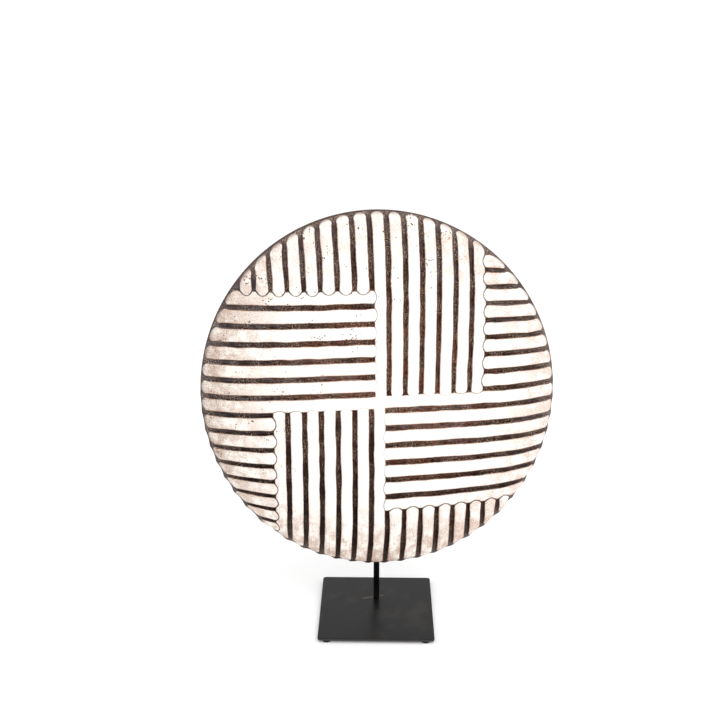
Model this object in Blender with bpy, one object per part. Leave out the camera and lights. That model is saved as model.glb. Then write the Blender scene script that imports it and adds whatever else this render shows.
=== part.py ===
"""A round carved wooden shield on its steel display stand, in metres, +Z up.

The origin is on the floor under the middle of the base plate, and the shield faces -Y.
The face is carved with half-round bars in a pinwheel of four bands of parallel bars.
"""
import math

import bmesh
import bpy
from mathutils import Euler, Matrix, Vector
from mathutils.geometry import delaunay_2d_cdt

# Gap between pieces that touch, and the angle above which an edge stays crisp
CONTACT_GAP = 0.0003
CREASE_ANGLE = math.radians(40)

# Base plate and its foot pads
PLATE_WIDTH = 0.150
PLATE_DEPTH = 0.160
PLATE_THICKNESS = 0.0035
PLATE_CORNER_RADIUS = 0.004
PLATE_EDGE_ROUND = 0.0005
FOOT_RADIUS = 0.0055
FOOT_HEIGHT = 0.0025
FOOT_SIDE_INSET = 0.0115
FOOT_END_INSET = 0.0062
ROUND_SEGMENTS = 24

# Support rod
ROD_RADIUS = 0.004
ROD_SETBACK = 0.025
SOCKET_DEPTH = 0.016
SOCKET_CLEARANCE = 0.0003

# Shield body: the dome follows height * (1 - (r / radius) ** power)
SHIELD_RADIUS = 0.228
DOME_HEIGHT = 0.0358
DOME_POWER = 5.2
RIM_WALL = 0.012
RIM_CHAMFER = 0.0015
RIM_LAND = 0.016
DISH_SHOULDER = 0.012
BODY_WALL = 0.012
RIM_POINTS = 72
DISH_RINGS = 5
DISH_RING_CROWDING = 1.5

# How far the disc is out of round at its rim, as shares of the radius: taller than it is
# wide, and drawn out along one diagonal. Inside this share of the radius it is true
OVAL_UPRIGHT = 0.0115
OVAL_SLANTED = 0.0085
OVAL_START = 0.7

# Where the stand holds the shield
SHIELD_CENTRE_ABOVE_PLATE = 0.3025
SHIELD_SHIFT_X = 0.003
SHIELD_SHIFT_Y = 0.009
SHIELD_LEAN = math.radians(5.8)
SHIELD_TURN = math.radians(7.2)

# Carved bars
BAR_HEIGHT = 0.0065
GROOVE_FLOOR = 0.003
BAR_END_BITE = 0.006
BAR_END_CAP = 0.008
RIM_END_CAP = 0.005
RIM_BAND_TOP = 0.0024
RIM_BAND_BOTTOM = 0.0008
RIM_BAND_FADE = (-0.75, -0.15)
RIM_FIT_STEPS = 3
SHORT_BARS = 8
LONG_BARS = 7
SHORTEST_BAR = 0.008
NARROWEST_BAR = 0.006
BAR_STEP = 0.022
BAR_END_POINTS = 4
SHOULDER_INSET = 0.3
PITCH_RADIUS = 0.130

# Each band of bars, clockwise from the top: the groove between its short and long bars,
# the pitch of the short bars at that groove and at the rim, the pitch of the long bars,
# and the slant of the first, middle and last bar in degrees, all taken at PITCH_RADIUS
BANDS = (
    {"split": -0.0132, "short": (0.0210, 0.0189), "long": 0.0208, "slants": (-0.4, 0.0, 2.4)},
    {"split": -0.0097, "short": (0.0220, 0.0197), "long": 0.0221, "slants": (5.5, -0.2, -1.6)},
    {"split": -0.0047, "short": (0.0213, 0.0195), "long": 0.0206, "slants": (-3.9, 0.3, 0.0)},
    {"split": -0.0148, "short": (0.0228, 0.0187), "long": 0.0220, "slants": (8.9, -0.3, -0.4)},
)

# Carved grip across the back
GRIP_LENGTH = 0.150
GRIP_POST = 0.026
GRIP_DEPTH = 0.022
GRIP_WIDTH = 0.028
GRIP_TAPER = 0.010
GRIP_INNER_TAPER = 0.005
GRIP_ROUND = 0.005
GRIP_ROOT = 0.004

# Heights that follow from the sizes above
PLATE_BOTTOM = FOOT_HEIGHT + CONTACT_GAP
PLATE_TOP = PLATE_BOTTOM + PLATE_THICKNESS


def material(name, colour, roughness, metallic=0.0):
    """A plain surface finish."""
    made = bpy.data.materials.new(name)
    made.use_nodes = True
    shader = made.node_tree.nodes["Principled BSDF"]
    shader.inputs["Base Color"].default_value = (*colour, 1.0)
    shader.inputs["Roughness"].default_value = roughness
    shader.inputs["Metallic"].default_value = metallic
    return made


def add_object(name, mesh_builder, finish):
    """Turns a finished bmesh into a named object."""
    mesh = bpy.data.meshes.new(name)
    mesh_builder.to_mesh(mesh)
    mesh_builder.free()
    made = bpy.data.objects.new(name, mesh)
    bpy.context.scene.collection.objects.link(made)
    mesh.materials.append(finish)
    return made


def cylinder(radius, height):
    """An upright cylinder that stands on its own origin."""
    builder = bmesh.new()
    bmesh.ops.create_cone(
        builder,
        cap_ends=True,
        segments=ROUND_SEGMENTS,
        radius1=radius,
        radius2=radius,
        depth=height,
    )
    bmesh.ops.translate(builder, verts=builder.verts, vec=(0.0, 0.0, height / 2))
    return builder


def smooth_round(made):
    """Shades the round walls smooth and keeps the ends crisp."""
    made.data.shade_smooth()
    made.data.set_sharp_from_angle(angle=CREASE_ANGLE)


def hide_tool(made):
    """Marks an object that only shapes another one."""
    made.hide_render = True
    made.display_type = "WIRE"


def build_base_plate(finish):
    """Steel plate with slightly rounded corners and softened edges."""
    builder = bmesh.new()
    bmesh.ops.create_cube(builder, size=1.0)
    bmesh.ops.scale(builder, verts=builder.verts, vec=(PLATE_WIDTH, PLATE_DEPTH, PLATE_THICKNESS))
    upright = [e for e in builder.edges if abs(e.verts[0].co.z - e.verts[1].co.z) > PLATE_THICKNESS / 2]
    bmesh.ops.bevel(
        builder, geom=upright, offset=PLATE_CORNER_RADIUS, segments=4, profile=0.5, affect="EDGES"
    )
    rim = [e for e in builder.edges if abs(e.verts[0].co.z - e.verts[1].co.z) < PLATE_THICKNESS / 2]
    bmesh.ops.bevel(
        builder, geom=rim, offset=PLATE_EDGE_ROUND, segments=1, profile=0.5, affect="EDGES"
    )
    plate = add_object("base_plate", builder, finish)
    plate.location.z = PLATE_BOTTOM + PLATE_THICKNESS / 2
    return plate


def build_feet(finish):
    """One thin round pad under each corner of the plate."""
    x_reach = PLATE_WIDTH / 2 - FOOT_SIDE_INSET
    y_reach = PLATE_DEPTH / 2 - FOOT_END_INSET
    for depth_name, y in (("front", -y_reach), ("back", y_reach)):
        for side_name, x in (("left", -x_reach), ("right", x_reach)):
            name = f"foot_pad_{depth_name}_{side_name}"
            pad = add_object(name, cylinder(FOOT_RADIUS, FOOT_HEIGHT), finish)
            pad.location = (x, y, 0.0)
            smooth_round(pad)


def dome(radius):
    """Height of the groove floors above the front edge of the rim, at a distance from the centre."""
    return DOME_HEIGHT * (1.0 - (radius / SHIELD_RADIUS) ** DOME_POWER)


def out_of_round(u, v):
    """A plan position on the true disc, moved to where it lies on the hand-cut one."""
    share = (math.hypot(u, v) / SHIELD_RADIUS - OVAL_START) / (1.0 - OVAL_START)
    share = min(max(share, 0.0), 1.0)
    turn = 2.0 * math.atan2(v, u)
    drawn = OVAL_UPRIGHT * math.cos(turn) + OVAL_SLANTED * math.sin(turn)
    stretch = 1.0 - drawn * share * share * (3.0 - 2.0 * share)
    return u * stretch, v * stretch


def band_line(band, share):
    """Slope of a bar: share runs from -1 at the outer short bar through 0 to 1 at the last long bar."""
    first, middle, last = band["slants"]
    if share < 0:
        return math.tan(math.radians(middle + (first - middle) * share * share))
    return math.tan(math.radians(middle + (last - middle) * share))


def long_side(index, across):
    """Where the long bars of a band meet the first long bar of the next band."""
    crossing = BANDS[(index + 1) % len(BANDS)]
    return -(crossing["split"] + band_line(crossing, 0.0) * (across - PITCH_RADIUS))


def short_side(index, across):
    """Where the short bars of a band meet the last long bar of the band before."""
    crossing = BANDS[index - 1]
    edge = crossing["split"] + LONG_BARS * crossing["long"]
    return edge + band_line(crossing, 1.0) * (-across - PITCH_RADIUS)


def inner_end(index, bar, across):
    """Where a bar's tip lies: it bites a little into the bar that it meets."""
    stop = short_side if bar["kind"] == "short" else long_side
    return stop(index, across) - BAR_END_BITE


def quarter_turn(index, along, across):
    """Plan position on the face of a point given along and across a band."""
    return ((across, along), (along, -across), (-across, -along), (-along, across))[index]


def unturn(index, u, v):
    """The reverse of quarter_turn: a plan position as along and across a band."""
    return ((v, u), (u, -v), (-v, -u), (-u, v))[index]


def field_radius(height_share):
    """Radius of the carved field: the plain band at the rim is wide at the top and narrow below."""
    low, high = RIM_BAND_FADE
    share = min(max((height_share - low) / (high - low), 0.0), 1.0)
    return SHIELD_RADIUS - RIM_BAND_BOTTOM - (RIM_BAND_TOP - RIM_BAND_BOTTOM) * share


def rim_end(index, bar, across):
    """Where a slanted bar leaves the carved field, at a position across the band."""
    slope = bar["slope"]
    shift = across - slope * PITCH_RADIUS
    steep = 1.0 + slope * slope
    along = SHIELD_RADIUS
    for _ in range(RIM_FIT_STEPS):
        height_share = quarter_turn(index, along, across)[1] / SHIELD_RADIUS
        field = field_radius(height_share)
        root = max(field * field * steep - shift * shift, 0.0)
        along = (math.sqrt(root) - slope * shift) / steep
    return along


def band_bars(index):
    """The bars of one band, with the outer ones trimmed or left out where the rim comes in."""
    band = BANDS[index]
    near, far = band["short"]
    sides = []
    edge = band["split"]
    for count in range(SHORT_BARS):
        pitch = near + (far - near) * count / (SHORT_BARS - 1)
        sides.append((edge - pitch, edge, -(count + 0.5) / SHORT_BARS, "short"))
        edge -= pitch
    edge = band["split"]
    for count in range(LONG_BARS):
        sides.append((edge, edge + band["long"], (count + 0.5) / LONG_BARS, "long"))
        edge += band["long"]
    bars = []
    for low, high, share, kind in sides:
        bar = {"slope": band_line(band, share), "kind": kind}
        shortest = inner_end(index, bar, (low + high) / 2) + SHORTEST_BAR
        reach = math.sqrt(max(field_radius(-1.0) ** 2 - shortest ** 2, 0.0))
        low, high = max(low, -reach), min(high, reach)
        bar["half"] = (high - low - GROOVE_FLOOR) / 2
        bar["middle"] = (low + high) / 2
        if bar["half"] > NARROWEST_BAR / 2:
            bars.append(bar)
    return bars


def bar_loop(index, bar, inset):
    """Plan outline of one bar, drawn in by a share of its half width. At 1 it is the crest line."""
    outer, inner = [], []
    for step in range(BAR_END_POINTS + 1):
        angle = math.pi * step / BAR_END_POINTS
        across = bar["middle"] + bar["half"] * (1.0 - inset) * math.cos(angle)
        drawn_in = 1.0 - (1.0 - inset) * math.sin(angle)
        outer.append((rim_end(index, bar, across) - RIM_END_CAP * drawn_in, across))
        inner.append((inner_end(index, bar, across) + BAR_END_CAP * drawn_in, across))

    def side(start, end):
        """Points at even steps along a straight side, clear of its two ends."""
        first, last = sorted((start[0], end[0]))
        count = range(math.ceil(first / BAR_STEP), math.floor(last / BAR_STEP) + 1)
        marks = [k * BAR_STEP for k in count if first + BAR_STEP / 4 < k * BAR_STEP < last - BAR_STEP / 4]
        if start[0] > end[0]:
            marks.reverse()
        return [(mark, start[1]) for mark in marks]

    if inset == 1.0:
        path = inner[:1] + side(inner[0], outer[0]) + outer[:1]
    else:
        path = outer + side(outer[-1], inner[-1]) + inner[::-1] + side(inner[0], outer[0])
    return [quarter_turn(index, a, c + bar["slope"] * (a - PITCH_RADIUS)) for a, c in path]


def bar_level(index, bar, u, v):
    """Height of a half-round bar at a plan position, as a share of its full height."""
    along, across = unturn(index, u, v)
    across -= bar["slope"] * (along - PITCH_RADIUS)
    sideways = (across - bar["middle"]) / bar["half"]
    if abs(sideways) >= 1.0:
        return 0.0
    to_tip = (along - inner_end(index, bar, across)) / BAR_END_CAP
    to_rim = (rim_end(index, bar, across) - along) / RIM_END_CAP
    endways = max(1.0 - min(to_tip, to_rim), 0.0)
    return math.sqrt(max(1.0 - sideways * sideways - endways * endways, 0.0))


def carved_face():
    """Plan points with their heights, and the triangles of the carved front."""
    field = [(index, bar) for index in range(len(BANDS)) for bar in band_bars(index)]
    points, edges = [], []

    def add_path(path, closed):
        first = len(points)
        points.extend(Vector(p) for p in path)
        count = len(path)
        edges.extend((first + k, first + k + 1) for k in range(count - 1))
        if closed:
            edges.append((first + count - 1, first))

    turns = [2.0 * math.pi * k / RIM_POINTS for k in range(RIM_POINTS)]
    add_path([(SHIELD_RADIUS * math.cos(t), SHIELD_RADIUS * math.sin(t)) for t in turns], True)
    for index, bar in field:
        add_path(bar_loop(index, bar, 0.0), True)
        add_path(bar_loop(index, bar, SHOULDER_INSET), True)
        add_path(bar_loop(index, bar, 1.0), False)
    flat, _, faces, source, _, _ = delaunay_2d_cdt(points, edges, [], 0, 1e-6)
    lifted = []
    for place in flat:
        level = max(bar_level(index, bar, place.x, place.y) for index, bar in field)
        height = dome(place.length) + BAR_HEIGHT * level
        lifted.append((*out_of_round(place.x, place.y), height))
    rim = [next(k for k, origin in enumerate(source) if wanted in origin) for wanted in range(RIM_POINTS)]
    return lifted, faces, rim


def dish_profile():
    """Radius and height of each ring from the rim's front edge round to the middle of the back."""
    rings = [
        (SHIELD_RADIUS, -RIM_WALL + RIM_CHAMFER),
        (SHIELD_RADIUS - RIM_CHAMFER, -RIM_WALL),
        (SHIELD_RADIUS - RIM_LAND, -RIM_WALL),
    ]
    start = SHIELD_RADIUS - RIM_LAND - DISH_SHOULDER
    for ring in range(DISH_RINGS):
        radius = start * (1.0 - (ring / DISH_RINGS) ** DISH_RING_CROWDING)
        rings.append((radius, dome(radius) - BODY_WALL))
    return rings


def build_shield_body(finish):
    """The carved disc: front relief, rim wall and dished back as one closed skin."""
    points, faces, rim = carved_face()
    builder = bmesh.new()
    verts = [builder.verts.new((u, -w, v)) for u, v, w in points]
    for face in faces:
        builder.faces.new([verts[k] for k in face])
    ring = [verts[k] for k in rim]
    for radius, height in dish_profile():
        below = []
        for k in range(RIM_POINTS):
            turn = 2.0 * math.pi * k / RIM_POINTS
            u, v = out_of_round(radius * math.cos(turn), radius * math.sin(turn))
            below.append(builder.verts.new((u, -height, v)))
        for k in range(RIM_POINTS):
            after = (k + 1) % RIM_POINTS
            builder.faces.new((ring[k], ring[after], below[after], below[k]))
        ring = below
    middle = builder.verts.new((0.0, -(dome(0.0) - BODY_WALL), 0.0))
    for k in range(RIM_POINTS):
        builder.faces.new((ring[k], ring[(k + 1) % RIM_POINTS], middle))
    bmesh.ops.recalc_face_normals(builder, faces=builder.faces)
    shield = add_object("shield", builder, finish)
    smooth_round(shield)
    return shield


def build_grip(shield, rod_place, finish):
    """The grip bar and its two posts, carved out of the same wood across the back."""
    floor = -(dome(0.0) - BODY_WALL) - GRIP_ROOT
    front = rod_place.y - GRIP_DEPTH / 2
    back = rod_place.y + GRIP_DEPTH / 2
    middle = rod_place.x
    outer = GRIP_LENGTH / 2
    inner = outer - GRIP_POST
    outline = (
        (outer, floor),
        (outer - GRIP_TAPER, back),
        (-outer + GRIP_TAPER, back),
        (-outer, floor),
        (-inner, floor),
        (-inner + GRIP_INNER_TAPER, front),
        (inner - GRIP_INNER_TAPER, front),
        (inner, floor),
    )
    builder = bmesh.new()
    base = [builder.verts.new((middle + x, y, -GRIP_WIDTH / 2)) for x, y in outline]
    face = builder.faces.new(base)
    grown = bmesh.ops.extrude_face_region(builder, geom=[face])
    top = [e for e in grown["geom"] if isinstance(e, bmesh.types.BMVert)]
    bmesh.ops.translate(builder, verts=top, vec=(0.0, 0.0, GRIP_WIDTH))
    rounded = [e for e in builder.edges if max(v.co.y for v in e.verts) > floor + GRIP_ROOT]
    bmesh.ops.bevel(
        builder, geom=rounded, offset=GRIP_ROUND, segments=2, profile=0.5, affect="EDGES"
    )
    bmesh.ops.recalc_face_normals(builder, faces=builder.faces)
    grip = add_object("grip_form", builder, finish)
    smooth_round(grip)
    grip.parent = shield
    hide_tool(grip)
    return grip


def add_boolean(made, operation, tool):
    """Joins or cuts one object with another."""
    step = made.modifiers.new(tool.name, "BOOLEAN")
    step.operation = operation
    step.solver = "EXACT"
    step.object = tool


def build_stand_and_shield():
    """Places the shield on the rod and the rod on the plate."""
    carved_wood = material("carved_wood", (0.62, 0.55, 0.46), 0.75)
    steel = material("black_steel", (0.035, 0.035, 0.038), 0.38, 1.0)
    rubber = material("foot_rubber", (0.02, 0.02, 0.02), 0.8)

    build_base_plate(steel)
    build_feet(rubber)

    shield = build_shield_body(carved_wood)
    shield.rotation_euler = (-SHIELD_LEAN, 0.0, SHIELD_TURN)
    shield.location = (SHIELD_SHIFT_X, SHIELD_SHIFT_Y, PLATE_TOP + SHIELD_CENTRE_ABOVE_PLATE)
    pose = Matrix.Translation(shield.location) @ Euler(shield.rotation_euler).to_matrix().to_4x4()

    rod_place = pose.inverted() @ Vector((0.0, ROD_SETBACK, shield.location.z))
    grip = build_grip(shield, rod_place, carved_wood)
    underside = pose @ Vector((rod_place.x, rod_place.y, -GRIP_WIDTH / 2))
    socket_top = underside.z + SOCKET_DEPTH

    socket_radius = ROD_RADIUS + SOCKET_CLEARANCE
    bore = add_object("socket_form", cylinder(socket_radius, SOCKET_DEPTH * 2), steel)
    bore.location = (0.0, ROD_SETBACK, socket_top - SOCKET_DEPTH * 2)
    hide_tool(bore)
    add_boolean(shield, "UNION", grip)
    add_boolean(shield, "DIFFERENCE", bore)

    foot = PLATE_TOP + CONTACT_GAP
    rod_height = socket_top - CONTACT_GAP - foot
    rod = add_object("support_rod", cylinder(ROD_RADIUS, rod_height), steel)
    rod.location = (0.0, ROD_SETBACK, foot)
    smooth_round(rod)


for leftover in list(bpy.data.objects):
    bpy.data.objects.remove(leftover, do_unlink=True)
build_stand_and_shield()
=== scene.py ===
"""The looks of a round carved shield on its steel display stand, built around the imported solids."""
import math
import random

import bpy
import numpy as np
from mathutils import Euler, Matrix, Vector
from mathutils.geometry import delaunay_2d_cdt


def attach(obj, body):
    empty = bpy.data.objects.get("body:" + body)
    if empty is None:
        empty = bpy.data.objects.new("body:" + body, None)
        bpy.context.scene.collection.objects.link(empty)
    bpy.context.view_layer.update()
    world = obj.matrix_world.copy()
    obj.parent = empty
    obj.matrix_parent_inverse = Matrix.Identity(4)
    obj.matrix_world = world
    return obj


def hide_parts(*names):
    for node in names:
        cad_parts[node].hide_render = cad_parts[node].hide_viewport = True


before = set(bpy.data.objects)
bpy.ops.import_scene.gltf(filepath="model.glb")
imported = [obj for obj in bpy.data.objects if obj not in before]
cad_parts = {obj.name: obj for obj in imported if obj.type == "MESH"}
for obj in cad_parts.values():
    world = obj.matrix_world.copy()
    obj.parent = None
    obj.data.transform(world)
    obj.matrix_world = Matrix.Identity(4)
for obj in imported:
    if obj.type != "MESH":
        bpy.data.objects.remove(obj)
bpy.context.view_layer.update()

bpy.ops.object.select_all(action="DESELECT")


# Base plate. A piece of 3.5 mm mild steel, 150 by 160 mm, with its edges dressed and a satin black
# powder coat. The shield's whole weight stands on it. The coat is scratched beside the rod.

class Value:
    """A number or colour on its way through a finish. Sums on it add the nodes for them."""

    def __init__(self, finish, socket):
        self.finish = finish
        self.socket = socket

    def maths(self, operation, *terms):
        """One sum of the terms, as a new value."""
        places = dict(enumerate(terms))
        return self.finish.node("ShaderNodeMath", {"operation": operation}, places)

    def __add__(self, other):
        return self.maths("ADD", self, other)

    def __sub__(self, other):
        return self.maths("SUBTRACT", self, other)

    def __rsub__(self, other):
        return self.maths("SUBTRACT", other, self)

    def __mul__(self, other):
        return self.maths("MULTIPLY", self, other)

    __radd__ = __add__
    __rmul__ = __mul__

    def size(self):
        """The value without its sign."""
        return self.maths("ABSOLUTE", self)

    def least(self, other):
        """The smaller of the value and another."""
        return self.maths("MINIMUM", self, other)

    def rise(self, low, high):
        """Nought up to low, one from high on, and a soft step between them."""
        ends = {"Value": self, "From Min": low, "From Max": high}
        step = {"interpolation_type": "SMOOTHSTEP"}
        return self.finish.node("ShaderNodeMapRange", step, ends)


class Finish:
    """One finish in the making: a material whose nodes are added one by one."""

    def __init__(self, name):
        self.material = bpy.data.materials.new(name)
        self.material.use_nodes = True
        self.tree = self.material.node_tree
        self.shader = self.tree.nodes["Principled BSDF"]

    def wire(self, sockets, values):
        """Feeds each socket with a value worked out before, or sets it to a plain one."""
        for key, value in values.items():
            if isinstance(value, Value):
                self.tree.links.new(value.socket, sockets[key])
            else:
                sockets[key].default_value = value

    def node(self, kind, settings, values, out=0):
        """Adds a node of a kind: its settings come first, then what feeds its sockets."""
        made = self.tree.nodes.new(kind)
        for name, setting in settings.items():
            setattr(made, name, setting)
        self.wire(made.inputs, values)
        return Value(self, made.outputs[out])

    def mix(self, share, first, second):
        """Goes from the first colour to the second as share goes from nought to one."""
        values = {0: share, 6: first, 7: second}
        return self.node("ShaderNodeMix", {"data_type": "RGBA"}, values, 2)

    def stretch(self, place, scales):
        """A place with each of its directions scaled, so that a pattern gets a grain."""
        values = {0: place, 1: scales}
        return self.node("ShaderNodeVectorMath", {"operation": "MULTIPLY"}, values)

    def part(self, place, axis):
        """One of the three numbers of a place."""
        return self.node("ShaderNodeSeparateXYZ", {}, {0: place}, axis)

    def object_place(self):
        """Where a point lies on its piece, in metres."""
        return self.node("ShaderNodeTexCoord", {}, {}, "Object")

    def cloud(self, place, scale, detail=3.0, roughness=0.5):
        """Soft noise from nought to one."""
        values = {"Vector": place, "Scale": scale, "Detail": detail, "Roughness": roughness}
        return self.node("ShaderNodeTexNoise", {}, values)

    def bump(self, height, strength, distance):
        """Tilts the surface as a fine relief of the given height would."""
        values = {"Strength": strength, "Distance": distance, "Height": height}
        return self.node("ShaderNodeBump", {}, values)

    def show(self, **values):
        """Feeds the surface shader and hands over the finished material."""
        named = {key.replace("_", " "): value for key, value in values.items()}
        self.wire(self.shader.inputs, named)
        return self.material


def tone(red, green, blue):
    """A colour given in shares of 255, turned to linear light."""
    shares = [part / 255 for part in (red, green, blue)]
    linear = [s / 12.92 if s <= 0.04045 else ((s + 0.055) / 1.055) ** 2.4 for s in shares]
    return (*linear, 1.0)


PLATE_TOP = 0.0063
SCRATCH_CROSSING = 0.0275
SCRATCH_SLOPE = 0.34
SCRATCH_WANDER = 0.0012
EDGE_FADE = (PLATE_TOP - 0.0008, PLATE_TOP - 0.0002)


def plate_marks_and_reflection(coat, place, colour):
    """The plate's own marks, a thin scratch past the rod and smudges, and a painted reflection that
    makes its sides below the top paler.
    """
    x, y, z = (coat.part(place, axis) for axis in "XYZ")
    wander = (coat.cloud(place, 240.0) - 0.5) * SCRATCH_WANDER
    off_line = (y - SCRATCH_CROSSING - x * SCRATCH_SLOPE).size() + wander
    length = x.rise(-0.021, -0.016) * (1.0 - x.rise(0.006, 0.012))
    scratch = (1.0 - off_line.rise(0.0003, 0.0011)) * length
    smudges = coat.cloud(place, 26.0, 3.0, 0.6).rise(0.50, 0.70)
    # Painted reflection: the sides below the top of the plate are made paler, as the floor's light on
    # them would make them.
    painted_edge_light = 1.0 - z.rise(*EDGE_FADE)
    colour = coat.mix(scratch * 0.45, colour, tone(168, 132, 100))
    colour = coat.mix(smudges * 0.30, colour, tone(58, 50, 46))
    return coat.mix(painted_edge_light * 0.85, colour, tone(62, 59, 58))


def black_coat(name, sheen, gloss, marks=None):
    """Satin black powder coat: a fine orange-peel skin with a little dust, and marks of its own; on
    the plate these come with a painted reflection on its sides.
    """
    coat = Finish(name)
    place = coat.object_place()
    peel = coat.cloud(place, 900.0, 2.0)
    dust = coat.cloud(place, 35.0, 4.0, 0.65).rise(0.45, 0.75)
    specks = coat.cloud(place, 1300.0, 1.0).rise(0.72, 0.78)
    colour = coat.mix(dust * 0.4 + specks * 0.5, tone(8, 8, 8), tone(34, 33, 32))
    if marks:
        colour = marks(coat, place, colour)
    return coat.show(
        Base_Color=colour,
        Roughness=sheen + dust * 0.12,
        Normal=coat.bump(peel, 0.12, 0.0003),
        Specular_IOR_Level=gloss,
    )


def refinish(piece, *finishes):
    """Takes a piece's materials off and gives it these instead."""
    piece.data.materials.clear()
    for finish in finishes:
        piece.data.materials.append(finish)


refinish(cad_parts["base_plate"], black_coat("plate_black_coat", 0.33, 0.18, plate_marks_and_reflection))


# Foot pads. Four thin round pads of black rubber, glued under the corners of the plate.
# They keep the steel off the shelf, and only their edges show.

rubber = Finish("pad_rubber")
pad_place = rubber.object_place()
pad_grain = rubber.cloud(pad_place, 1500.0, 2.0)
pad_dust = rubber.cloud(pad_place, 220.0).rise(0.45, 0.8)
pad_rubber = rubber.show(
    Base_Color=rubber.mix(pad_dust, tone(22, 22, 22), tone(58, 55, 52)),
    Roughness=0.75 + pad_dust * 0.15,
    Normal=rubber.bump(pad_grain, 0.4, 0.0003),
)
for name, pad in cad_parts.items():
    if name.startswith("foot_pad"):
        refinish(pad, pad_rubber)


# Support rod. An 8 mm round steel bar that stands on the plate and has the same black coat.
# Its top goes up into a socket bored in the underside of the shield's grip.

refinish(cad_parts["support_rod"], black_coat("rod_black_coat", 0.34, 0.05))


# Shield. One disc of dark wood, domed in front and dished behind, 456 mm across, with its bars and
# its grip cut from the same block. It is worked face up: first the back, the rim and the grip,
# then the carved face.

SHIELD_RADIUS = 0.228
DOME_HEIGHT = 0.0358
DOME_POWER = 5.2
BODY_WALL = 0.012
RIM_WALL = 0.012
RIM_ROUND = 0.0008
DISH_RADIUS = 0.200
DISH_CELLS = 144


def dome(radius):
    """Height of the groove floors above the front edge of the rim."""
    return DOME_HEIGHT * (1.0 - (radius / SHIELD_RADIUS) ** DOME_POWER)


def read_points(piece):
    """The places of all points of a piece, as rows."""
    flat = np.empty(len(piece.data.vertices) * 3)
    piece.data.vertices.foreach_get("co", flat)
    return flat.reshape(-1, 3)


def write_points(piece, places):
    """Puts all points of a piece at new places."""
    piece.data.vertices.foreach_set("co", places.ravel())
    piece.data.update()


def read_faces(piece):
    """The middles of all faces of a piece, as rows."""
    flat = np.empty(len(piece.data.polygons) * 3)
    piece.data.polygons.foreach_get("center", flat)
    return flat.reshape(-1, 3)


def pick(piece, kind, wanted):
    """Opens a piece in edit mode with only the wanted faces or points selected."""
    bpy.context.view_layer.objects.active = piece
    bpy.ops.object.mode_set(mode="OBJECT")
    for group in (piece.data.vertices, piece.data.edges, piece.data.polygons):
        group.foreach_set("select", np.zeros(len(group), bool))
    (piece.data.polygons if kind == "FACE" else piece.data.vertices).foreach_set("select", wanted)
    bpy.context.tool_settings.mesh_select_mode = (kind == "VERT", False, kind == "FACE")
    bpy.ops.object.mode_set(mode="EDIT")


def draw_out(shift, grow=(1.0, 1.0, 1.0), about=(0.0, 0.0, 0.0)):
    """Extrudes what is selected, then moves and scales the new part."""
    bpy.ops.mesh.extrude_region_move(TRANSFORM_OT_translate={"value": shift})
    bpy.ops.transform.resize(value=grow, center_override=about)


# The dished back: a square grid pressed round into a disc, then drawn out over the rim
bpy.ops.mesh.primitive_grid_add(x_subdivisions=DISH_CELLS, y_subdivisions=DISH_CELLS, size=2.0)
shield = bpy.context.object
shield.name = "carved_shield"
places = read_points(shield)
across, up = places[:, 0].copy(), places[:, 1].copy()
places[:, 0] = across * np.sqrt(1.0 - up * up / 2) * DISH_RADIUS
places[:, 1] = up * np.sqrt(1.0 - across * across / 2) * DISH_RADIUS
places[:, 2] = dome(np.hypot(places[:, 0], places[:, 1])) - BODY_WALL
write_points(shield, places)

bpy.ops.object.mode_set(mode="EDIT")
bpy.context.tool_settings.mesh_select_mode = (False, True, False)
bpy.ops.mesh.select_all(action="DESELECT")
bpy.ops.mesh.select_non_manifold()
RIM_PROFILE = [
    (DISH_RADIUS, dome(DISH_RADIUS) - BODY_WALL),
    (0.2055, -0.0020),
    (0.2095, -0.0095),
    (0.2120, -RIM_WALL),
    (0.2195, -RIM_WALL),
    (0.2262, -RIM_WALL),
    (0.2274, -0.0116),
    (SHIELD_RADIUS, -0.0105),
    (SHIELD_RADIUS, -0.0075),
    (SHIELD_RADIUS, -0.0045),
    (SHIELD_RADIUS, -0.0020),
    (SHIELD_RADIUS, -RIM_ROUND),
    (SHIELD_RADIUS - RIM_ROUND, 0.0),
]
for (radius, height), (next_radius, next_height) in zip(RIM_PROFILE, RIM_PROFILE[1:]):
    grow = next_radius / radius
    draw_out((0.0, 0.0, next_height - height), (grow, grow, 1.0))
bpy.ops.object.mode_set(mode="OBJECT")

# The grip: two posts drawn out of the dish, and a bar drawn from both to meet at the middle.
# Each step gives the middle of the post, its length along the bar in mm, and how far it goes down
GRIP_HALF_WIDTH = 0.0135
GRIP_SIDE_TAPER = 0.985
POST_SPAN = (0.0475, 0.0765)
DISH_FLOOR = 0.02
POST_STEPS = [
    (0.0595, 26.5, 0.004),
    (0.0588, 25.5, 0.007),
    (0.0578, 25.0, 0.008),
    (0.0566, 25.0, 0.010),
]
BAR_STEPS = [
    (0.0560, 24.5, 0.005),
    (0.0552, 23.5, 0.006),
    (0.0545, 22.5, 0.006),
    (0.0540, 21.5, 0.005),
]
for side in (-1, 1):
    middles = read_faces(shield)
    reach = middles[:, 0] * side
    post = (reach > POST_SPAN[0]) & (reach < POST_SPAN[1]) & (middles[:, 2] > DISH_FLOOR)
    pick(shield, "FACE", post & (abs(middles[:, 1]) < GRIP_HALF_WIDTH))
    centre, width = sum(POST_SPAN) / 2, (POST_SPAN[1] - POST_SPAN[0]) * 1000
    for next_centre, next_width, drop in POST_STEPS + BAR_STEPS:
        shift = (side * (next_centre - centre), 0.0, -drop)
        narrower = (next_width / width, GRIP_SIDE_TAPER, 1.0)
        draw_out(shift, narrower, (side * next_centre, 0.0, 0.0))
        centre, width = next_centre, next_width
    bpy.ops.object.mode_set(mode="OBJECT")

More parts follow.
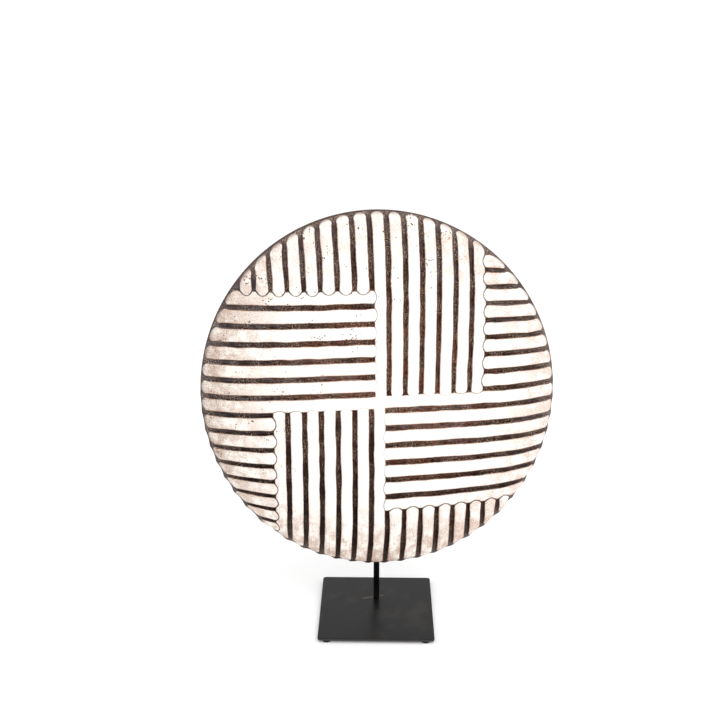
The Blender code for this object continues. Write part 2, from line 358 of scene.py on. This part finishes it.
BAR_TOP = -0.0055
BAR_ROOT = (0.040, 0.048)
BAR_HALF_REACH = 0.0435
REACH_STEPS = 13
SIDE_FACING = 0.8
for side in (-1, 1):
    middles = read_faces(shield)
    normals = np.empty(len(middles) * 3)
    shield.data.polygons.foreach_get("normal", normals)
    reach = middles[:, 0] * side
    facing = (abs(normals[::3]) > SIDE_FACING) & (middles[:, 2] < BAR_TOP)
    pick(shield, "FACE", facing & (reach > BAR_ROOT[0]) & (reach < BAR_ROOT[1]))
    for _ in range(REACH_STEPS):
        draw_out((-side * BAR_HALF_REACH / REACH_STEPS, 0.0, 0.0))
    bpy.ops.transform.resize(value=(0.0, 1.0, 1.0), center_override=(0.0, 0.0, 0.0))
    bpy.ops.mesh.delete(type="FACE")
    bpy.ops.object.mode_set(mode="OBJECT")

# The halves are joined and the whole grip is worn round
GRIP_REACH = (0.085, 0.024)
GRIP_ROOT = 0.0005
GRIP_WELD = 0.00001
GRIP_WEAR = 7
places = read_points(shield)
below_dish = places[:, 2] < dome(0.0) - BODY_WALL - GRIP_ROOT
on_grip = (abs(places[:, 0]) < GRIP_REACH[0]) & (abs(places[:, 1]) < GRIP_REACH[1])
pick(shield, "VERT", on_grip & below_dish)
bpy.ops.mesh.remove_doubles(threshold=GRIP_WELD)
bpy.ops.mesh.vertices_smooth(factor=0.5, repeat=GRIP_WEAR)
bpy.ops.object.mode_set(mode="OBJECT")

# The carving: four bands of half-round bars in a pinwheel, clockwise from the top. Each band has
# eight short bars outside its split groove and seven long ones inside it. Sizes are taken at
# PITCH_RADIUS, and slants in degrees for the outermost, the middle and the innermost bar. "bite" is
# how far the short tips reach over the crossing bar, and "more" is what the first long bar adds to
# LONG_BITE.
PITCH_RADIUS = 0.130
SHORT_BARS = 8
LONG_BARS = 7
BANDS = (
    {
        "split": -0.0132, "short": (0.0210, 0.0189), "long": 0.0208,
        "slants": (-0.4, 0.0, 2.4), "bite": 0.0114, "more": 0.0125,
    },
    {
        "split": -0.0097, "short": (0.0220, 0.0197), "long": 0.0221,
        "slants": (5.5, -0.2, -1.6), "bite": 0.0092, "more": 0.0030,
    },
    {
        "split": -0.0047, "short": (0.0213, 0.0195), "long": 0.0206,
        "slants": (-3.9, 0.3, 0.0), "bite": 0.0106, "more": 0.0070,
    },
    {
        "split": -0.0148, "short": (0.0228, 0.0187), "long": 0.0220,
        "slants": (8.9, -0.3, -0.4), "bite": 0.0094, "more": 0.0045,
    },
)
BAR_HEIGHT = 0.0065
GROOVE_FLOOR = 0.003
LONG_BITE = 0.0078
TIP_CAP = {"short": 0.0100, "long": 0.0068}
TIP_LIFT = {"short": 0.20, "long": 0.06}
RIM_END_CAP = 0.0078
RIM_LIP = 0.0003
END_UNEVEN = 0.0012
SWAY = 0.00018
SWELL = 0.00014
BAR_STATION = 0.003
BAR_INSETS = (0.0, 0.05, 0.13, 0.25, 0.42, 0.64, 1.0)
CAP_POINTS = 10
chance = random.Random(11)


def slope_of(band, share):
    """Slope of a bar: share is -1 at the outer short bar, 0 at the split and 1 at the last bar."""
    first, middle, last = band["slants"]
    if share < 0:
        degrees = middle + (first - middle) * share * share
    else:
        degrees = middle + (last - middle) * share
    return math.tan(math.radians(degrees))


def hand_drift(amount):
    """A slow waver, as a cut made by hand has along its length."""
    waves = [
        (amount * chance.uniform(0.4, 1.0), chance.uniform(0.030, 0.085), chance.uniform(0, 6.3))
        for _ in range(3)
    ]

    def drift(along):
        return sum(
            high * np.sin(along * 2 * math.pi / length + start) for high, length, start in waves
        )

    return drift


def uneven():
    """How much one end of a bar is longer or shorter than meant."""
    return chance.uniform(-END_UNEVEN, END_UNEVEN)


class Bar:
    """One half-round bar: where it lies in its band, and how its edges waver."""

    def __init__(self, index, kind, low, high, share):
        band = BANDS[index]
        self.index = index
        self.kind = kind
        self.slope = slope_of(band, share)
        self.middle = (low + high) / 2
        self.half = (high - low - GROOVE_FLOOR) / 2
        self.sway = hand_drift(SWAY)
        self.swell = hand_drift(SWELL)
        self.bite = (band["bite"] if kind == "short" else LONG_BITE) + uneven()
        self.inner_cap = TIP_CAP[kind] + uneven()
        self.outer_cap = RIM_END_CAP + uneven()
        self.height = chance.uniform(0.95, 1.0)
        self.tint = chance.random()
        if kind == "long" and low == band["split"]:
            self.bite += band["more"]

    def inner_tip(self, across):
        """Where the tip lies that bites into the crossing bar of the band next to this one."""
        if self.kind == "short":
            crossing = BANDS[self.index - 1]
            edge = crossing["split"] + LONG_BARS * crossing["long"]
            return edge + slope_of(crossing, 1.0) * (-across - PITCH_RADIUS) - self.bite
        crossing = BANDS[(self.index + 1) % 4]
        return -(crossing["split"] + slope_of(crossing, 0.0) * (across - PITCH_RADIUS)) - self.bite

    def outer_tip(self, across):
        """Where the bar runs out, just inside the edge of the rim."""
        shift = across - self.slope * PITCH_RADIUS
        steep = 1.0 + self.slope * self.slope
        field = SHIELD_RADIUS - RIM_ROUND - RIM_LIP
        root = np.maximum(field * field * steep - shift * shift, 0.0)
        return (np.sqrt(root) - self.slope * shift) / steep

    def plan(self, along, across):
        """Turns a place along and across the band to the plan of the face."""
        turned = ((across, along), (along, -across), (-across, -along), (-along, across))
        return turned[self.index]

    def stations(self, inner, outer):
        """Even places along the bar between its ends."""
        first = math.ceil((inner + BAR_STATION / 3) / BAR_STATION)
        last = math.floor((outer - BAR_STATION / 3) / BAR_STATION)
        return np.arange(first, last + 1) * BAR_STATION

    def outlines(self):
        """Plan paths along the bar: closed loops drawn in step by step, and the crest last."""
        turn = np.linspace(0.0, math.pi, CAP_POINTS + 1)
        for inset in BAR_INSETS:
            sideways = (1.0 - inset) * np.cos(turn)
            straight = self.middle + self.half * sideways
            drawn = 1.0 - (1.0 - inset) * np.sin(turn)
            outer = self.outer_tip(straight) - self.outer_cap * drawn
            inner = self.inner_tip(straight) + self.inner_cap * drawn
            low, high = (self.stations(inner[end], outer[end]) for end in (-1, 0))
            if inset == 1.0:
                along = np.concatenate([inner[:1], high, outer[:1]])
                sideways = np.zeros(len(along))
            else:
                along = np.concatenate([outer, low[::-1], inner[::-1], high])
                low_side = np.full(len(low), sideways[-1])
                high_side = np.full(len(high), sideways[0])
                sideways = np.concatenate([sideways, low_side, sideways[::-1], high_side])
            across = self.middle + self.sway(along) + sideways * (self.half + self.swell(along))
            path = self.plan(along, across + self.slope * (along - PITCH_RADIUS))
            yield path, inset < 1.0

    def straighten(self, u, v):
        """A place on the face as a place along the bar and across it, with the slant taken out."""
        along, across = ((v, u), (u, -v), (-v, -u), (-u, v))[self.index]
        return along, across - self.slope * (along - PITCH_RADIUS)

    def level(self, u, v):
        """How far out a place lies, with 1 on the outline, and the share of bar height there."""
        along, straight = self.straighten(u, v)
        sideways = (straight - self.middle - self.sway(along)) / (self.half + self.swell(along))
        to_tip = (along - self.inner_tip(straight)) / self.inner_cap
        to_rim = (self.outer_tip(straight) - along) / self.outer_cap
        endways = np.maximum(np.maximum(1.0 - to_tip, 1.0 - to_rim), 0.0)
        reach = np.sqrt(sideways ** 2 + endways ** 2)
        lift = 1.0 + TIP_LIFT[self.kind] * np.clip(2.0 - to_tip, 0.0, 1.0)
        return reach, np.sqrt(np.maximum(1.0 - reach * reach, 0.0)) * lift * self.height


bars = []
for index, band in enumerate(BANDS):
    edge = band["split"]
    near, far = band["short"]
    for count in range(SHORT_BARS):
        pitch = near + (far - near) * count / (SHORT_BARS - 1)
        bars.append(Bar(index, "short", edge - pitch, edge, -(count + 0.5) / SHORT_BARS))
        edge -= pitch
    edge = band["split"]
    for count in range(LONG_BARS):
        bars.append(Bar(index, "long", edge, edge + band["long"], (count + 0.5) / LONG_BARS))
        edge += band["long"]

# The face is laid out in plan, from the front edge of the rim and the outlines of the bars
RIM_EDGE_ZONE = 0.003
places = read_points(shield)
rim_edge = places[np.hypot(places[:, 0], places[:, 1]) > SHIELD_RADIUS - RIM_EDGE_ZONE]
rim_edge = rim_edge[rim_edge[:, 2] > -RIM_ROUND / 2][:, :2]
rim_edge = rim_edge[np.argsort(np.arctan2(rim_edge[:, 1], rim_edge[:, 0]))]
marks = [Vector(p) for p in rim_edge]
joins = [(k, (k + 1) % len(marks)) for k in range(len(marks))]
for bar in bars:
    for (u, v), closed in bar.outlines():
        first = len(marks)
        marks += [Vector(p) for p in zip(u, v)]
        joins += [(k, k + 1) for k in range(first, len(marks) - 1)]
        if closed:
            joins.append((len(marks) - 1, first))
flat, _, triangles, _, _, _ = delaunay_2d_cdt(marks, joins, [], 0, 1e-6)
flat = np.array(flat)


def bar_levels(u, v):
    """Shares of bar height at each place, of even, odd and short bars, and the nearest bar."""
    even, odd, short = np.zeros(len(u)), np.zeros(len(u)), np.zeros(len(u))
    nearest = np.full(len(u), np.inf)
    owner = np.zeros(len(u), int)
    for number, bar in enumerate(bars):
        reach, level = bar.level(u, v)
        group = odd if bar.index % 2 else even
        np.maximum(group, level, out=group)
        if bar.kind == "short":
            np.maximum(short, level, out=short)
        closer = reach < nearest
        nearest[closer] = reach[closer]
        owner[closer] = number
    return even, odd, short, owner


# Then it is lifted to the dome and the bars, and closed onto the rim
RIM_WELD = 0.00002
SOFT_ANGLE = math.radians(60)
even, odd, _, _ = bar_levels(flat[:, 0], flat[:, 1])
radius = np.hypot(flat[:, 0], flat[:, 1])
lifted = np.column_stack([flat, dome(radius) + BAR_HEIGHT * np.maximum(even, odd)])
on_rim_edge = radius > SHIELD_RADIUS - RIM_ROUND - 1e-6
lifted[on_rim_edge, 2] = 0.0
face_mesh = bpy.data.meshes.new("carved_face")
face_mesh.from_pydata(lifted.tolist(), [], triangles)
carved_face = bpy.data.objects.new("carved_face", face_mesh)
bpy.context.scene.collection.objects.link(carved_face)

bpy.ops.object.select_all(action="DESELECT")
carved_face.select_set(True)
shield.select_set(True)
bpy.context.view_layer.objects.active = shield
bpy.ops.object.join()
bpy.ops.object.mode_set(mode="EDIT")
bpy.ops.mesh.select_all(action="SELECT")
bpy.ops.mesh.remove_doubles(threshold=RIM_WELD)
bpy.ops.mesh.normals_make_consistent(inside=False)
bpy.ops.object.mode_set(mode="OBJECT")
bpy.ops.object.shade_smooth_by_angle(angle=SOFT_ANGLE)

# What the finishes read from the carving: height on the bar, seam between bars, tint and rim.
# The seams at the tips of the long bars are the finer ones
FRONT_DEPTH = 0.003
SHORT_TIP_SEAM = 0.8
LONG_TIP_SEAM = 1.8
places = read_points(shield)
radius = np.hypot(places[:, 0], places[:, 1])
even, odd, short, owner = bar_levels(places[:, 0], places[:, 1])
in_front = places[:, 2] > dome(np.minimum(radius, SHIELD_RADIUS)) - FRONT_DEPTH
seam_sharpness = np.where(short > 0.1, SHORT_TIP_SEAM, LONG_TIP_SEAM)
layers = {
    "bar_level": np.maximum(even, odd) * in_front,
    "bar_seam": np.where(in_front, (even - odd) * seam_sharpness, 1.0),
    "bar_tint": np.array([bar.tint for bar in bars])[owner],
    "rim_share": radius / SHIELD_RADIUS,
}
for name, values in layers.items():
    layer = shield.data.attributes.new(name, "FLOAT", "POINT")
    layer.data.foreach_set("value", values.astype(np.float32))

# Two maps of the face: its plan, and the grain, which runs along each bar. BAND_APART keeps the
# grain of one band from going on in the next
BAND_APART = 0.7
middles = read_faces(shield)
face_radius = np.hypot(middles[:, 0], middles[:, 1])
front_faces = middles[:, 2] > dome(np.minimum(face_radius, SHIELD_RADIUS)) - FRONT_DEPTH
front_faces &= face_radius < SHIELD_RADIUS - RIM_ROUND
_, _, _, face_owner = bar_levels(middles[:, 0], middles[:, 1])
corner_point = np.empty(len(shield.data.loops), int)
shield.data.loops.foreach_get("vertex_index", corner_point)
face_sizes = np.empty(len(middles), int)
shield.data.polygons.foreach_get("loop_total", face_sizes)
corner_owner = np.repeat(face_owner, face_sizes)
corner_in_front = np.repeat(front_faces, face_sizes)
corner_plan = places[corner_point, :2]
grain = corner_plan.copy()
for number, bar in enumerate(bars):
    mine = (corner_owner == number) & corner_in_front
    along, straight = bar.straighten(corner_plan[mine, 0], corner_plan[mine, 1])
    grain[mine] = np.column_stack([along, straight + BAND_APART * bar.index])
for name, values in {"grain": grain, "plan": corner_plan}.items():
    layer = shield.data.uv_layers.new(name=name)
    layer.data.foreach_set("uv", values.astype(np.float32).ravel())

# Round the lower half the ends of the bars are cut in, and the groove ends stand a little proud
SCALLOP_DEPTH = 0.0020
SCALLOP_START = 0.94
SCALLOP_RING = 0.009
ring = SHIELD_RADIUS - SCALLOP_RING
turn = np.arctan2(places[:, 1], places[:, 0])
even, odd, _, _ = bar_levels(ring * np.cos(turn), ring * np.sin(turn))
share = np.clip((radius / SHIELD_RADIUS - SCALLOP_START) / (1.0 - SCALLOP_START), 0.0, 1.0)
below = np.clip(0.25 - 1.6 * np.sin(turn), 0.0, 1.0)
cut_in = SCALLOP_DEPTH * np.maximum(even, odd) ** 2 * share * below
places[:, :2] *= (1.0 - cut_in / SHIELD_RADIUS)[:, None]

# The hand-cut disc is a little out of round at its rim: taller than wide, and drawn out along
# one diagonal. Inside OVAL_START of the radius it is true
OVAL_UPRIGHT = 0.0115
OVAL_SLANTED = 0.0085
OVAL_START = 0.7
share = np.clip((radius / SHIELD_RADIUS - OVAL_START) / (1.0 - OVAL_START), 0.0, 1.0)
turn = 2.0 * np.arctan2(places[:, 1], places[:, 0])
drawn = OVAL_UPRIGHT * np.cos(turn) + OVAL_SLANTED * np.sin(turn)
places[:, :2] *= (1.0 - drawn * share * share * (3.0 - 2.0 * share))[:, None]
write_points(shield, places)

# It is stood up and turned to its place on the rod, and stands in for the plain solid
SHIELD_PLACE = (0.003, 0.009, PLATE_TOP + 0.3025)
SHIELD_LEAN = math.radians(-5.8)
SHIELD_TURN = math.radians(7.2)
stand_up = Matrix.Rotation(math.radians(90), 4, "X")
lean = Euler((SHIELD_LEAN, 0.0, SHIELD_TURN)).to_matrix().to_4x4()
shield.data.transform(Matrix.Translation(SHIELD_PLACE) @ lean @ stand_up)
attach(shield, "root")
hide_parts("shield")

# The front: dark stained wood in the grooves, and white pigment rubbed over the bars
chalk = Finish("chalked_bars")
along_bar = chalk.node("ShaderNodeUVMap", {"uv_map": "grain"}, {})
plan = chalk.node("ShaderNodeUVMap", {"uv_map": "plan"}, {})
level, seam, tint, rim = (
    chalk.node("ShaderNodeAttribute", {"attribute_name": name}, {}, "Fac") for name in layers
)
plan_x = chalk.part(plan, "X")
plan_y = chalk.part(plan, "Y")

# Patterns: strokes and fibres run along each bar, and patches lie over all of them
strokes = chalk.cloud(chalk.stretch(along_bar, (0.45, 1.0, 1.0)), 560.0, 3.0, 0.7)
fibres = chalk.cloud(chalk.stretch(along_bar, (0.10, 1.0, 1.0)), 620.0, 3.0, 0.6)
ragged = chalk.cloud(along_bar, 300.0, 4.0, 0.65)
mottle = chalk.cloud(along_bar, 60.0, 5.0, 0.65)
patches = chalk.cloud(plan, 15.0, 3.0, 0.55)
speckle = chalk.cloud(along_bar, 760.0, 2.0, 0.6)

# Areas of the face, each nought outside it and one well inside
leftward = 1.0 - (plan_x + patches * 0.10).rise(-0.225, -0.02)
downward = 1.0 - (plan_y + patches * 0.10).rise(-0.20, -0.06)
rimward = rim.rise(0.62, 1.0)
low_down = 1.0 - plan_y.rise(-0.19, -0.02)
upper_left = leftward * (1.0 - downward)
low_left = (1.0 - plan_x.rise(-0.03, 0.04)) * (1.0 - plan_y.rise(-0.03, 0.03))
low_left = low_left * (1.0 - rimward * 0.5)

# Grooves: near black low down and at the lower left, redder by the middle, dusty grey toward the rim
red = chalk.cloud(plan, 26.0, 3.0, 0.6).rise(0.38, 0.58) * (1.0 - rim.rise(0.30, 0.78))
reddish = chalk.mix(strokes.rise(0.36, 0.62), tone(50, 20, 14), tone(158, 96, 68))
wood = chalk.mix(strokes.rise(0.36, 0.64), tone(12, 5, 5), tone(94, 66, 54))
wood = chalk.mix(red * 0.6, wood, reddish)
wood = chalk.mix(rimward * (1.0 - low_down) * 0.20, wood, tone(84, 78, 80))
wood = chalk.mix(upper_left * 0.65, wood, tone(38, 30, 33))
# Painted sheen: pale bluish-grey streaks along the fibres, at the upper left and in patches of the
# upper half, stand in for light glancing off the grooves.
painted_sheen = (upper_left + patches.rise(0.50, 0.58) * (1.0 - low_down)).least(1.0)
wood = chalk.mix(painted_sheen * fibres.rise(0.48, 0.60) * 0.45, wood, tone(126, 124, 132))
wood = chalk.mix((low_down * 0.5 + low_left * 0.55).least(1.0), wood, tone(26, 10, 8))
dusty = rim.rise(0.86, 0.985) * (0.15 + leftward * downward * 0.65)
wood = chalk.mix(dusty, wood, tone(132, 118, 116))
flecks = speckle.rise(0.54, 0.62) * chalk.cloud(plan, 40.0, 3.0, 0.6).rise(0.40, 0.58)
wood = chalk.mix(flecks * (0.85 - low_down * 0.55), wood, tone(204, 180, 158))

# Pigment: bright on the middle bars, beige toward the left and the lower rim, partly from stains on
# the pigment and partly as painted shade where the dome turns from the light
edge = level + (ragged - 0.5) * 0.20 + (mottle - 0.5) * 0.16
edge = edge + rim.rise(0.955, 0.995) * 0.42  # the thin ends of the bars are whitened as well
pigment = edge.rise(0.53, 0.63)
fringe = 1.0 - edge.rise(0.59, 0.71)
# Partly real staining and partly painted shade: the bars go beige toward the left, the bottom and the
# rim.
aged_and_shaded = (leftward * 0.85 + downward * 0.85 + rimward * 0.4).least(1.0)
stain = (mottle * 0.6 + patches * 0.4).rise(0.40, 0.58)
grit = speckle.rise(0.40, 0.62)
beige = chalk.mix(stain, tone(252, 244, 234), tone(212, 188, 170))
beige = chalk.mix(grit * stain * 0.6, beige, tone(150, 118, 100))
white = chalk.mix(stain * 0.20 + grit * 0.10, tone(255, 253, 250), tone(232, 206, 188))
white = chalk.mix(aged_and_shaded * (0.62 + stain * 0.25), white, beige)
# Painted shade: toward the left rim the bars go grey-brown, mottled with a fine grain, where they
# turn away from the light.
left_rim_shade = (leftward * rimward).rise(0.25, 0.90)
left_rim_mottling = (ragged * 0.5 + speckle * 0.5).rise(0.44, 0.54)
grey_brown = chalk.mix(left_rim_mottling, tone(222, 210, 200), tone(118, 98, 88))
white = chalk.mix(left_rim_shade * 0.42, white, grey_brown)
white = chalk.mix(fibres.rise(0.50, 0.66) * (0.05 + aged_and_shaded * 0.40), white, tone(176, 142, 120))
white = chalk.mix(tint * 0.08, white, tone(224, 200, 182))
white = chalk.mix(fringe * strokes, white, tone(206, 152, 112))
white = chalk.mix(rim.rise(0.974, 0.996) * (0.35 + mottle * 0.5), white, tone(116, 96, 86))
specks = speckle.rise(0.57, 0.66) * (0.12 + aged_and_shaded * 0.8) * mottle.rise(0.40, 0.56)
white = chalk.mix(specks, white, tone(120, 80, 62))
rusty_area = rim.rise(0.60, 0.85) * plan_x.rise(0.02, 0.12)
rusty = speckle.rise(0.50, 0.60) * rusty_area * mottle.rise(0.46, 0.56)
white = chalk.mix(rusty * 0.7, white, tone(206, 150, 116))

# Small dark pits in clusters, most of them at the upper left
pit_values = {"Vector": along_bar, "Scale": 290.0}
pit_cells = chalk.node("ShaderNodeTexVoronoi", {}, pit_values, "Distance")
pit_luck = chalk.cloud(along_bar, 42.0, 3.0, 0.7).rise(0.56, 0.62)
pit_area = (plan_y - plan_x + patches * 0.10).rise(0.02, 0.22) * 0.8 + 0.2
pits = (1.0 - pit_cells.rise(0.20, 0.34)) * pit_luck * pit_area
white = chalk.mix(pits, white, tone(72, 46, 34))

# Thin dark creases stay where a bar's tip lies on the bar that it crosses
outside = rim.rise(0.06, 0.10) * (rim.rise(0.34, 0.50) * 0.55 + 0.45)
creases = 1.0 - (seam.size() + level * level * 0.42).rise(0.38, 0.50)
creases = creases * level.rise(0.25, 0.40) * outside
covered = pigment * (1.0 - creases * (0.50 + ragged * 0.6 + aged_and_shaded * 0.3).least(1.0))
relief = covered * 0.5 + strokes * 0.25 * (1.0 - covered) + mottle * 0.25 - pits * 0.5
chalked_bars = chalk.show(
    Base_Color=chalk.mix(covered, wood, white),
    Roughness=0.52 + covered * 0.30,
    Normal=chalk.bump(relief, 0.5, 0.0005),
    Specular_IOR_Level=0.12,
)

# The rim and the back: the same dark stained wood, tooled and left plain
bare = Finish("stained_back_wood")
bare_place = bare.object_place()
bare_grain = bare.cloud(bare.stretch(bare_place, (6.0, 6.0, 90.0)), 9.0, 5.0, 0.65)
gouges = bare.cloud(bare.stretch(bare_place, (1.0, 1.0, 0.4)), 60.0, 2.0)
bare_dust = bare.cloud(bare_place, 16.0, 4.0, 0.6).rise(0.45, 0.8)
bare_colour = bare.mix(bare_grain.rise(0.3, 0.7), tone(40, 26, 19), tone(84, 58, 42))
back_wood = bare.show(
    Base_Color=bare.mix(bare_dust * 0.4, bare_colour, tone(112, 96, 82)),
    Roughness=0.55 + bare_dust * 0.25,
    Normal=bare.bump(gouges * 0.8 + bare_grain * 0.2, 0.5, 0.0012),
    Specular_IOR_Level=0.2,
)
refinish(shield, chalked_bars, back_wood)
shield.data.polygons.foreach_set("material_index", np.where(front_faces, 0, 1))


# Studio. A plain white floor that runs on into a white background, soft light from above and
# ahead, and a camera in front and a little above.

FLOOR_SIZE = 240.0
bpy.ops.mesh.primitive_plane_add(size=FLOOR_SIZE, location=(0.0, 0.0, 0.0))
floor = bpy.context.object
floor.name = "studio_floor"
paper = Finish("studio_paper")
paper_tone = paper.cloud(paper.object_place(), 3.0)
floor.data.materials.append(paper.show(
    Base_Color=paper.mix(paper_tone, tone(250, 250, 250), tone(247, 247, 247)),
    Roughness=0.9,
    Emission_Color=tone(255, 255, 255),
    Emission_Strength=0.09,
))

world = bpy.data.worlds.new("studio_light")
world.use_nodes = True
background = world.node_tree.nodes["Background"].inputs
background["Color"].default_value = (1.0, 1.0, 1.0, 1.0)
background["Strength"].default_value = 1.06
bpy.context.scene.world = world


def soft_box(name, place, target, size, power):
    """A square soft light that looks at a target."""
    bpy.ops.object.light_add(type="AREA", location=place)
    box = bpy.context.object
    box.name = name
    box.data.size = size
    box.data.energy = power
    box.rotation_euler = (Vector(target) - Vector(place)).to_track_quat("-Z", "Y").to_euler()


soft_box("key_light", (1.1, -1.5, 1.7), (0.0, 0.0, 0.3), 1.2, 9.0)
soft_box("top_light", (0.2, 0.1, 2.2), (0.0, 0.0, 0.1), 1.4, 6.0)

CAMERA_PLACE = (0.0029, -1.3405, 0.7956)
CAMERA_TILT = math.radians(71.815)
CAMERA_TURN = math.radians(1.058)
bpy.ops.object.camera_add(location=CAMERA_PLACE, rotation=(CAMERA_TILT, 0.0, CAMERA_TURN))
camera = bpy.context.object
camera.data.sensor_width = 36.0
camera.data.lens = 56.5
bpy.context.scene.camera = camera
bpy.context.scene.view_settings.view_transform = "Standard"
